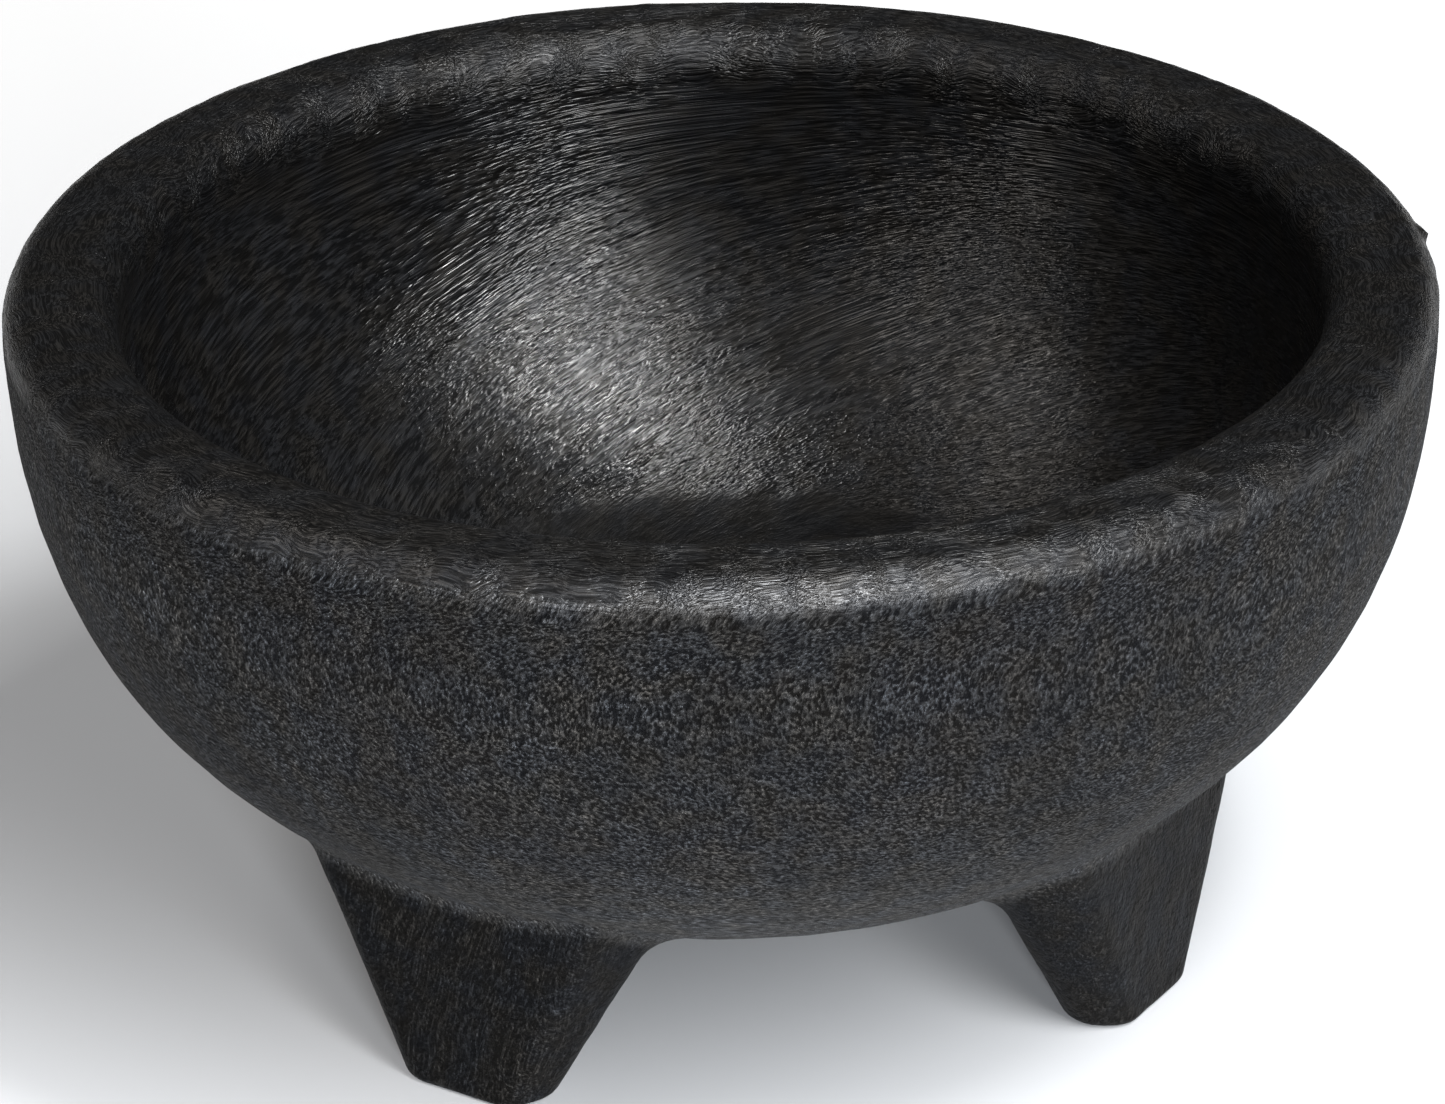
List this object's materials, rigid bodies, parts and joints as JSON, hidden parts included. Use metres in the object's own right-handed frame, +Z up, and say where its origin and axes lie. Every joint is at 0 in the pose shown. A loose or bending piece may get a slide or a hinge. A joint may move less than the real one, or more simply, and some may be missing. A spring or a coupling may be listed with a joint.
{
  "type": "molcajete",
  "caption": "Thick round serving bowl in the shape of a molcajete, moulded in fibrous charcoal plastic, standing on short tapered legs.",
  "frame": {"origin": "on the table under the centre of the bowl, at the level of the soles of the legs", "axes": "+Z up along the bowl's axis; -Y is the front, midway between two legs; +X to the right seen from the front"},
  "size_m": [0.127, 0.127, 0.0624],
  "materials": {
    "bowl": "foamed polypropylene, fibrous streaks inside, fine pebbled grain outside, dull sheen",
    "legs": "the same foamed polypropylene, smoother, with faint streaks"
  },
  "bodies": {
    "root": {"bowl": "bowl", "leg_front_right": "legs", "leg_back_right": "legs", "leg_back_left": "legs", "leg_front_left": "legs"}
  },
  "joints": []
}
